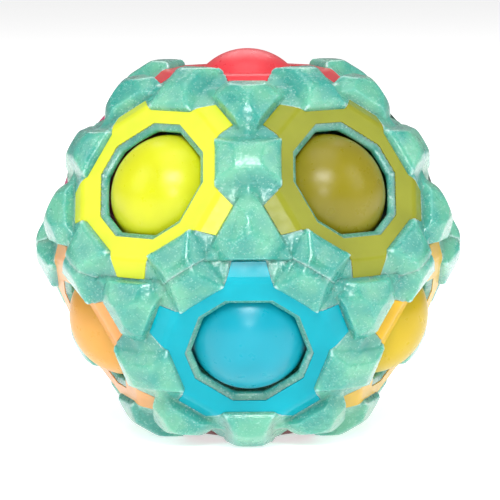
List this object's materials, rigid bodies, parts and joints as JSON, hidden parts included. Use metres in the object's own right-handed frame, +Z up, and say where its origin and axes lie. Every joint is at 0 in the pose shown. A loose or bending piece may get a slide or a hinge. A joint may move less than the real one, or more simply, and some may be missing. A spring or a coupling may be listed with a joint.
{
  "type": "ball puzzle",
  "caption": "Hand-held ball puzzle: studded round shell, colour-ringed sockets, sprung balls that press in, and an empty socket a ball can be pushed across into.",
  "frame": {"origin": "under the puzzle's centre, in the plane of the five pad shoulders that it rests on", "axes": "+Z up through the red ball's socket, away from the empty socket at the bottom; the blue ball faces -Y; +X to the right of it"},
  "size_m": [0.0762, 0.075, 0.0689],
  "materials": {
    "shell": "translucent, fine glitter, moulded",
    "ring_red": "satin moulded",
    "ball_red": "soft matte",
    "ring_yellow": "satin moulded",
    "ball_yellow": "soft matte",
    "ring_olive": "satin moulded",
    "ball_olive": "soft matte",
    "ring_dark_green": "satin moulded",
    "ball_dark_green": "soft matte",
    "ring_violet": "satin moulded",
    "ball_violet": "soft matte",
    "ring_pink": "satin moulded",
    "ball_pink": "soft matte",
    "ring_blue": "satin moulded",
    "ball_blue": "soft matte",
    "ring_amber": "satin moulded",
    "ball_amber": "soft matte",
    "ring_green": "satin moulded",
    "ball_green": "soft matte",
    "ring_navy": "satin moulded",
    "ball_navy": "soft matte",
    "ring_orange": "satin moulded",
    "ball_orange": "soft matte",
    "ring_maroon": "satin moulded",
    "core": "soft foam"
  },
  "bodies": {
    "body": {"shell_upper": "shell", "shell_lower": "shell", "ring_red": "ring_red", "ring_yellow": "ring_yellow", "ring_olive": "ring_olive", "ring_dark_green": "ring_dark_green", "ring_violet": "ring_violet", "ring_pink": "ring_pink", "ring_blue": "ring_blue", "ring_amber": "ring_amber", "ring_green": "ring_green", "ring_navy": "ring_navy", "ring_orange": "ring_orange", "ring_maroon": "ring_maroon", "core_ball": "core"},
    "ball_red": {"ball_red": "ball_red"},
    "ball_yellow": {"ball_yellow": "ball_yellow"},
    "ball_olive": {"ball_olive": "ball_olive"},
    "ball_dark_green": {"ball_dark_green": "ball_dark_green"},
    "ball_violet": {"ball_violet": "ball_violet"},
    "ball_pink": {"ball_pink": "ball_pink"},
    "ball_blue": {"ball_blue": "ball_blue"},
    "ball_amber": {"ball_amber": "ball_amber"},
    "ball_green": {"ball_green": "ball_green"},
    "ball_navy": {"ball_navy": "ball_navy"},
    "ball_orange": {"ball_orange": "ball_orange"}
  },
  "joints": [
    {"name": "press_red", "type": "slide", "parent": "body", "child": "ball_red", "axis": [0, 0, 1], "range_m": [-0.0028, 0.0002], "stiffness_N_per_m": 1500, "deforming": ["core_ball"]},
    {"name": "press_yellow", "type": "slide", "parent": "body", "child": "ball_yellow", "axis": [-0.5257, -0.7236, 0.4472], "range_m": [-0.0028, 0.0002], "stiffness_N_per_m": 1500, "deforming": ["core_ball"]},
    {"name": "press_olive", "type": "slide", "parent": "body", "child": "ball_olive", "axis": [0.5257, -0.7236, 0.4472], "range_m": [-0.0028, 0.0002], "stiffness_N_per_m": 1500, "deforming": ["core_ball"]},
    {"name": "press_dark_green", "type": "slide", "parent": "body", "child": "ball_dark_green", "axis": [0.8507, 0.2764, 0.4472], "range_m": [-0.0028, 0.0002], "stiffness_N_per_m": 1500, "deforming": ["core_ball"]},
    {"name": "press_violet", "type": "slide", "parent": "body", "child": "ball_violet", "axis": [0, 0.8944, 0.4472], "range_m": [-0.0028, 0.0002], "stiffness_N_per_m": 1500, "deforming": ["core_ball"]},
    {"name": "press_pink", "type": "slide", "parent": "body", "child": "ball_pink", "axis": [-0.8507, 0.2764, 0.4472], "range_m": [-0.0028, 0.0002], "stiffness_N_per_m": 1500, "deforming": ["core_ball"]},
    {"name": "transfer_blue", "type": "hinge", "parent": "body", "child": "ball_blue", "pos_m": [0, -0.03086, -0.01668], "axis": [-1, 0, 0], "range_deg": [0, 38.24], "deforming": ["core_ball"]},
    {"name": "press_amber", "type": "slide", "parent": "body", "child": "ball_amber", "axis": [0.8507, -0.2764, -0.4472], "range_m": [-0.0028, 0.0002], "stiffness_N_per_m": 1500, "deforming": ["core_ball"]},
    {"name": "press_green", "type": "slide", "parent": "body", "child": "ball_green", "axis": [0.5257, 0.7236, -0.4472], "range_m": [-0.0028, 0.0002], "stiffness_N_per_m": 1500, "deforming": ["core_ball"]},
    {"name": "transfer_navy", "type": "hinge", "parent": "body", "child": "ball_navy", "pos_m": [-0.01814, 0.02497, -0.01668], "axis": [-0.809, -0.5878, 0], "range_deg": [-38.24, 0], "deforming": ["core_ball"]},
    {"name": "press_orange", "type": "slide", "parent": "body", "child": "ball_orange", "axis": [-0.8507, -0.2764, -0.4472], "range_m": [-0.0028, 0.0002], "stiffness_N_per_m": 1500, "deforming": ["core_ball"]}
  ]
}
